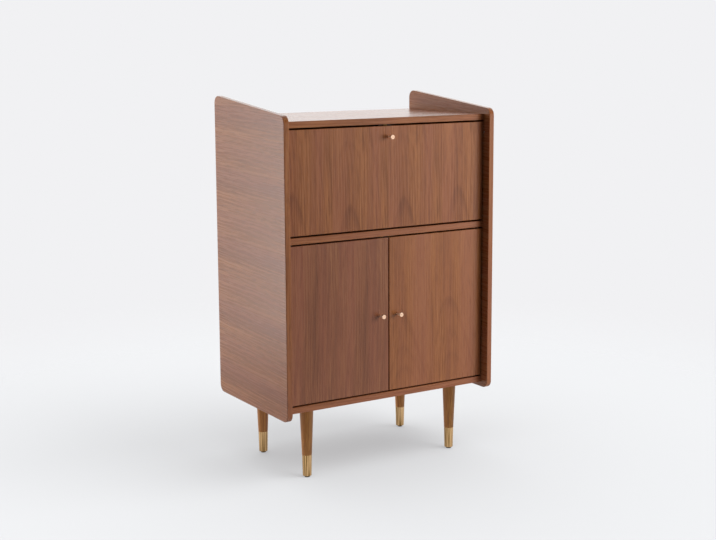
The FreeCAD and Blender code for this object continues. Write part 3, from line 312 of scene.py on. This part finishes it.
# ---------------------------------------------------------------- legs
# Turned from solid beech, tapered, stained golden brown and lacquered. Straight fine grain runs their length,
# and the stain sits darker in the ends of the years.
STAINED_BEECH = ("#70441b", "#975f2a", "#ad7234", "#c28a49")
stained_beech = timber(
    "stained_beech_legs", STAINED_BEECH, "#9c6232", GRAIN_UPRIGHT,
    pith=(0.2, 0.5), lean=math.radians(1), ring=0.005, leaf=0.31, lines=0.22, gloss=0.36,
)
CORNERS = [f"{end}_{hand}" for end in ("front", "rear") for hand in ("left", "right")]
dress(stained_beech, *(f"leg_{corner}" for corner in CORNERS))

# ---------------------------------------------------------------- ferrules and glides
# Each leg ends in a sleeve of drawn brass tube, polished lengthwise and lacquered: streaks of paler and of
# deeper gold run down it, drawn a millimetre or two wide, coarser than the real polish marks, so that they
# show. Their tint is partly that polish and partly a painted reflection of the lit and the shaded floor.
# Under it sits a nailed glide of black nylon.
# painted reflections: the two streak colours stand partly for the lit and the shaded floor mirrored in the
# brass
BRASS_STREAKS_AND_PAINTED_REFLECTIONS = ("#896734", "#e9c18e")  # the deepest and the palest streaks
STREAK_COUNT = (330.0, 330.0, 5.0)  # per metre, round the sleeve and down it
MARK_DEPTH = 0.00003
MARK_ENDS = (0.36, 0.64)  # where the noise of a tool's marks has turned deep and where pale
MARK_ABOVE, MARK_BELOW = 0.05, 0.03  # how far the roughness goes from its mean, where deep and where pale


def polish(tree, shader, marks, shades, roughness):
    """Makes the shader brass with the marks of a tool: where the pattern marks, a value about 0.5, is low
    the metal has the first of the two shades and is a little duller. On the ferrules the marks' tint is also
    a painted reflection of the floor."""
    tones = zip(MARK_ENDS, (linear(shade) for shade in shades))
    tint = add(tree, "ShaderNodeValToRGB", {"Fac": marks}, tones).outputs[0]
    tree.links.new(tint, shader.inputs["Base Color"])
    ends = {"To Min": roughness + MARK_ABOVE, "To Max": roughness - MARK_BELOW}
    dull = add(tree, "ShaderNodeMapRange", {"Value": marks, **NOISE_SPAN, **ends}).outputs[0]
    tree.links.new(dull, shader.inputs["Roughness"])
    bump = add(tree, "ShaderNodeBump", {"Strength": 0.2, "Distance": MARK_DEPTH, "Height": marks})
    tree.links.new(bump.outputs[0], shader.inputs["Normal"])
    shader.inputs["Metallic"].default_value = 1.0


# brass whose streaked tint is partly polish marks and partly painted reflection of the lit and the shaded
# floor
brass_with_painted_reflections, tree, shader = finish_of("brass_with_painted_reflections")
here = add(tree, "ShaderNodeTexCoord").outputs["Object"]
streaks = drawn_out(tree, here, STREAK_COUNT, detail=1.0)[0]
polish(tree, shader, streaks, BRASS_STREAKS_AND_PAINTED_REFLECTIONS, roughness=0.22)
dress(brass_with_painted_reflections, *(f"ferrule_{corner}" for corner in CORNERS))
black_nylon = speckled("black_nylon", "#1d1b19", roughness=0.5)
dress(black_nylon, *(f"glide_{corner}" for corner in CORNERS))

# ---------------------------------------------------------------- leg bolts and inserts
# Hanger bolts that stand in the tops of the legs, and the threaded inserts in the bottom panel that they
# screw into. Both are of zinc plated steel, like the screws.
dress(plated_steel, "leg_bolts", "leg_inserts")

# ---------------------------------------------------------------- flap
# The fold-out shelf: an 18 mm board with upright veneer in slip-matched leaves, so that the same tongue of
# grain comes back across it. Its top and bottom edges are lipped with strips that run from side to side.
flap_walnut = timber(
    "walnut_veneer_flap", WALNUT, WALNUT_BLUSH, GRAIN_UPRIGHT,
    pith=(0.085, -0.125), lean=math.radians(4.5), ring=0.0065, leaf=0.185, shift=0.4,
    lip=(GRAIN_CROSSWISE, "Z"), fibres=0.85, clouds=0.5,
)
dress(flap_walnut, "flap_panel")

# ---------------------------------------------------------------- doors
# Two 18 mm boards like the flap, each with leaves of its own: straight grain on the left door, a longer eye
# on the right one.
DUSKY_WALNUT = ("#5a3220", "#774831", "#895539", "#a06c4a")
left_walnut = timber(
    "walnut_veneer_left_door", DUSKY_WALNUT, WALNUT_BLUSH, GRAIN_UPRIGHT,
    pith=(0.10, -0.085), lean=math.radians(3), ring=0.008, leaf=0.165, shift=4.1,
    lip=(GRAIN_CROSSWISE, "Z"), lines=0.09, fibres=0.65, clouds=0.5,
)
dress(left_walnut, "door_left_panel")
right_walnut = timber(
    "walnut_veneer_right_door", WALNUT, WALNUT_BLUSH, GRAIN_UPRIGHT,
    pith=(0.09, -0.11), lean=math.radians(4), ring=0.008, leaf=0.165, shift=3.1,
    lip=(GRAIN_CROSSWISE, "Z"), lines=0.10, fibres=0.5,
)
dress(right_walnut, "door_right_panel")

# ---------------------------------------------------------------- knobs
# A head and stem turned in one from brass bar, faced and dimpled in the middle and left a pale satin. The
# facing tool leaves rings about the knob's own axis, drawn 0.6 mm apart where they are closer, so that they
# show. A steel screw holds each knob from behind the board.
TURNED_BRASS = ("#d9b496", "#f5d1b8")  # in the rings and between them
TOOL_RINGS = 1600.0  # per metre
KNOBS = ("flap_knob", "door_left_knob", "door_right_knob")
for name in KNOBS:
    low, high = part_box(name)
    middle = tuple((a + b) / 2 for a, b in zip(low, high))
    turned_brass, tree, shader = finish_of(f"turned_brass_{name}")
    here = add(tree, "ShaderNodeTexCoord").outputs["Object"]
    spoke = add(tree, "ShaderNodeVectorMath", {0: here, 1: middle}, operation="SUBTRACT").outputs[0]
    spoke = add(tree, "ShaderNodeVectorMath", {0: spoke, 1: (1.0, 0.0, 1.0)}, operation="MULTIPLY").outputs[0]
    radius = add(tree, "ShaderNodeVectorMath", {0: spoke}, operation="LENGTH").outputs["Value"]
    rings = {"W": radius, "Scale": TOOL_RINGS, "Detail": 1.0}
    rings = add(tree, "ShaderNodeTexNoise", rings, noise_dimensions="1D").outputs[0]
    polish(tree, shader, rings, TURNED_BRASS, roughness=0.40)
    around = add(tree, "ShaderNodeTangent", direction_type="RADIAL", axis="Y").outputs[0]
    tree.links.new(around, shader.inputs["Tangent"])
    shader.inputs["Anisotropic"].default_value = 0.8  # the rings spread a reflection across themselves
    shader.inputs["Anisotropic Rotation"].default_value = 0.25
    dress(turned_brass, name)
dress(plated_steel, *(f"{knob}_screw" for knob in KNOBS))

# ---------------------------------------------------------------- pivots
# The flap and the doors turn on pins of blued steel let into their edges, nearly black with a dull gleam.
# They run in bushes moulded from brown acetal: smooth and slightly waxy, hidden in the gaps.
blued_steel = speckled("blued_steel", "#4a4640", roughness=0.38, metallic=1.0)
dress(blued_steel, "flap_pivot_pins", "door_left_pivot_pins", "door_right_pivot_pins")
brown_acetal = speckled("brown_acetal", "#3b2618", roughness=0.42)
dress(brown_acetal, "flap_pivot_bushes", "door_pivot_bushes")

# ---------------------------------------------------------------- flap stays
# A slotted arm on each side slides over a stud in the side panel, and holds the flap level when it is down.
# Arms and brackets are pressed from steel strip and nickel plated: brighter and smoother than the screws.
nickel_strip = speckled(
    "nickel_plated_strip", "#bdb8ac", roughness=0.26, metallic=1.0, grain=0.004, shade=0.9,
)
dress(nickel_strip, "stay_arm_left", "stay_arm_right", "flap_stay_brackets")
dress(nickel_strip, "stay_studs", "flap_stay_rivets")
dress(plated_steel, "flap_bracket_screws")

# ---------------------------------------------------------------- magnetic catches
# Housings moulded from the same brown acetal and screwed under the panels, with dull grey ferrite magnets
# that pull on strikes fixed to the flap and the doors. The strikes are steel, zinc plated and passivated
# yellow, which leaves an olive sheen.
dress(brown_acetal, "flap_catch_housing", "door_catch_housing")
ferrite = speckled("ferrite_magnet", "#35332f", roughness=0.4)
dress(ferrite, "flap_catch_magnet", "door_catch_magnet")
yellow_zinc = speckled(
    "yellow_passivated_zinc", "#c4a870", roughness=0.55, metallic=1.0, grain=0.005, shade=0.8,
)
dress(yellow_zinc, "flap_strike", "door_left_strike", "door_right_strike")
dress(blued_steel, "catch_screws")

# ---------------------------------------------------------------- side studs
# A small steel stud in each side, just in front of the flap's upper corner. Its shank is pressed into a bore
# in the side panel, and its head is burnished to a soft pale gleam.
burnished_steel = speckled("burnished_steel", "#b4b0aa", roughness=0.55, metallic=1.0)
dress(burnished_steel, "side_studs")

# ---------------------------------------------------------------- floor
# A sweep of pale paper that glows a little, so that it meets the backdrop without an edge, and fades into it
# before it ends. Only the middle of it throws light back on the cabinet, up the legs.
BACKDROP = "#f1f1f3"
PAPER = "#646566"
PAPER_GLOW = 0.45
FADE_STARTS, FADE_ENDS = 1.0, 2.6
FLOOR_REACH = 6.0
MIDDLE_REACH = 0.5
RIM_POINTS = 64

paper, tree, shader = finish_of("pale_paper")
output = next(node for node in tree.nodes if node.type == "OUTPUT_MATERIAL")
tree.nodes.remove(shader)
matt = add(tree, "ShaderNodeBsdfDiffuse", {"Color": linear(PAPER)}).outputs[0]
glow = add(tree, "ShaderNodeEmission", {"Color": linear(BACKDROP), "Strength": PAPER_GLOW}).outputs[0]
both = add(tree, "ShaderNodeAddShader", {0: matt, 1: glow}).outputs[0]
here = add(tree, "ShaderNodeTexCoord").outputs["Object"]
reach = add(tree, "ShaderNodeVectorMath", {0: here}, operation="LENGTH").outputs["Value"]
fade = {"Value": reach, "From Min": FADE_STARTS, "From Max": FADE_ENDS}
fade = add(tree, "ShaderNodeMapRange", fade, interpolation_type="SMOOTHSTEP").outputs[0]
clear = add(tree, "ShaderNodeBsdfTransparent").outputs[0]
faded = add(tree, "ShaderNodeMixShader", {0: fade, 1: both, 2: clear}).outputs[0]
tree.links.new(faded, output.inputs["Surface"])


def paper_ring(name, inner, outer):
    """A flat ring on the floor between two radii: points (r cos t, r sin t, 0) for r in (inner, outer)."""
    turns = np.linspace(0, 2 * math.pi, RIM_POINTS, endpoint=False)
    rims = [np.stack([r * np.cos(turns), r * np.sin(turns), 0 * turns], axis=1) for r in (inner, outer)]
    first = np.arange(RIM_POINTS)
    after = np.roll(first, -1)
    quads = np.stack([first, first + RIM_POINTS, after + RIM_POINTS, after], axis=1)
    mesh = bpy.data.meshes.new(name)
    mesh.from_pydata(np.concatenate(rims).tolist(), [], quads.tolist())
    mesh.materials.append(paper)
    ring = bpy.data.objects.new(name, mesh)
    bpy.context.scene.collection.objects.link(ring)
    return ring


floor_middle = paper_ring("floor_middle", 0.0, MIDDLE_REACH)
floor_rest = paper_ring("floor_rest", MIDDLE_REACH, FLOOR_REACH)
floor_rest.visible_diffuse = False

# ---------------------------------------------------------------- room
# Around the cabinet the room is dark but for soft panels: two behind it, one before it at the right, one
# above it and one below it. The camera sees only the even backdrop.
PANELS = (  # where each panel is from the cabinet, its brightness, and the cosines of its rim and core
    ((0.45, 0.88, 0.14), 1.55, 0.60, 0.88),
    ((-0.50, 0.86, -0.05), 0.80, 0.70, 0.96),
    ((0.76, -0.65, -0.05), 1.60, 0.88, 0.99),
    ((0.00, 0.25, 0.97), 0.64, 0.35, 0.85),
    ((0.00, 0.00, -1.00), 0.25, 0.35, 0.80),
)
ROOM_DARK = 0.04
room = bpy.data.worlds.new("studio")
bpy.context.scene.world = room
room.use_nodes = True
tree = room.node_tree
tree.nodes.clear()
towards = add(tree, "ShaderNodeTexCoord").outputs["Generated"]
total = ROOM_DARK
for direction, brightness, rim, core in PANELS:
    length = math.dist(direction, (0, 0, 0))
    unit = tuple(part / length for part in direction)
    along = add(tree, "ShaderNodeVectorMath", {0: towards, 1: unit}, operation="DOT_PRODUCT").outputs["Value"]
    share = {"Value": along, "From Min": rim, "From Max": core}
    share = add(tree, "ShaderNodeMapRange", share, interpolation_type="SMOOTHSTEP").outputs[0]
    total = {0: share, 1: brightness, 2: total}
    total = add(tree, "ShaderNodeMath", total, operation="MULTIPLY_ADD").outputs[0]
panels = add(tree, "ShaderNodeBackground", {"Color": (1.0, 1.0, 1.0, 1.0), "Strength": total}).outputs[0]
backdrop = add(tree, "ShaderNodeBackground", {"Color": linear(BACKDROP), "Strength": 1.0}).outputs[0]
seen = add(tree, "ShaderNodeLightPath").outputs["Is Camera Ray"]
either = add(tree, "ShaderNodeMixShader", {0: seen, 1: panels, 2: backdrop}).outputs[0]
add(tree, "ShaderNodeOutputWorld", {0: either})

# ---------------------------------------------------------------- lamps
# A key softbox stands at the right of the camera, with a flag that shades the legs from most of it, and
# another softbox at the left rear. A small fill at the left lifts the legs. These leave the floor alone: it
# has a soft sun and a sky of its own. Three more give only the brass its reflections.


def linked(name, state, *pieces):
    """A light-linking collection in which these pieces are the only ones lit, or the only ones left out."""
    group = bpy.data.collections.new(name)
    for place, piece in enumerate(pieces):
        group.objects.link(piece)
        group.collection_objects[place].light_linking.link_state = state
    return group


def lamp(name, kind, place, aim, lit, **settings):
    """A light at place that looks at aim, shines only on what lit allows and is hidden from the camera."""
    light = bpy.data.lights.new(name, kind)
    for key, value in settings.items():
        setattr(light, key, value)
    holder = bpy.data.objects.new(name, light)
    bpy.context.scene.collection.objects.link(holder)
    ahead = np.subtract(aim, place)
    holder.location = place
    tilt = math.atan2(math.hypot(*ahead[:2]), -ahead[2])
    holder.rotation_euler = (tilt, 0.0, math.atan2(-ahead[0], ahead[1]))
    holder.visible_camera = False
    holder.light_linking.receiver_collection = lit
    return holder


cabinet_only = linked("cabinet_only", "EXCLUDE", floor_middle, floor_rest)
floor_only = linked("floor_only", "INCLUDE", floor_middle, floor_rest)
legs = [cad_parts[f"leg_{corner}"] for corner in CORNERS]
legs_only = linked("legs_only", "INCLUDE", *legs)
above_legs = linked("above_legs", "EXCLUDE", floor_middle, floor_rest, *legs)
knobs = [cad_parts[name] for name in KNOBS]
ferrules = [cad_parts[f"ferrule_{corner}"] for corner in CORNERS]
knobs_only = linked("knobs_only", "INCLUDE", *knobs)
brass_only = linked("brass_only", "INCLUDE", *knobs, *ferrules)
KEY_PLACE, KEY_AIM = (1.62, -1.84, 1.10), (0.20, -0.18, 0.70)
key = lamp(
    "key_softbox", "AREA", KEY_PLACE, KEY_AIM, above_legs,
    shape="RECTANGLE", size=1.7, size_y=1.4, energy=49.0,
)
flagged = lamp(
    "key_behind_flag", "AREA", KEY_PLACE, KEY_AIM, legs_only,
    shape="RECTANGLE", size=1.7, size_y=1.4, energy=3.0,
)
low_fill = lamp(
    "low_fill", "AREA", (-1.20, -1.10, 0.35), (-0.20, -0.10, 0.12), legs_only,
    shape="RECTANGLE", size=0.5, size_y=0.5, energy=1.8,
)
for softened in (key, flagged, low_fill):
    softened.visible_glossy = False  # a matt cloth hangs before it, so the lacquer doesn't mirror it
lamp(
    "side_softbox", "AREA", (-2.42, 1.60, 0.80), (0.0, 0.0, 0.60), cabinet_only,
    shape="RECTANGLE", size=2.4, size_y=2.4, energy=54.0,
)
lamp(
    "floor_sun", "SUN", (2.0, -2.0, 2.4), (0.0, 0.0, 0.0), floor_only,
    angle=math.radians(50), energy=4.4,
)
lamp(
    "floor_sky", "SUN", (0.0, 0.0, 3.0), (0.0, 0.0, 0.0), floor_only,
    angle=math.radians(110), energy=7.7,
)
lamp(
    "brass_softbox", "AREA", (0.92, -2.35, 1.00), (0.20, -0.18, 0.50), brass_only,
    shape="RECTANGLE", size=1.7, size_y=2.4, energy=14.0,
)
lamp(
    "brass_fill", "AREA", (-2.30, -0.20, 0.70), (0.0, -0.18, 0.50), brass_only,
    shape="RECTANGLE", size=1.4, size_y=2.0, energy=14.0,
)
lamp(
    "knob_fill", "AREA", (-1.60, -0.75, 0.80), (0.0, -0.20, 0.80), knobs_only,
    shape="RECTANGLE", size=1.0, size_y=1.0, energy=11.0,
)

# ---------------------------------------------------------------- camera
# It stands to the left of the cabinet and a little above its top, turned and tilted down to take it all in.
# Its lens is a fairly long one, which keeps the uprights nearly parallel.
camera_data = bpy.data.cameras.new("camera")
camera_data.sensor_width = 36.0
camera_data.lens = 65.143
camera_data.shift_y = -0.03
camera = bpy.data.objects.new("camera", camera_data)
bpy.context.scene.collection.objects.link(camera)
camera.location = (-1.99184, -3.23221, 1.22227)
camera.rotation_euler = (1.41324, 0.00502, -0.5552)
bpy.context.scene.camera = camera
bpy.context.scene.view_settings.view_transform = "Standard"
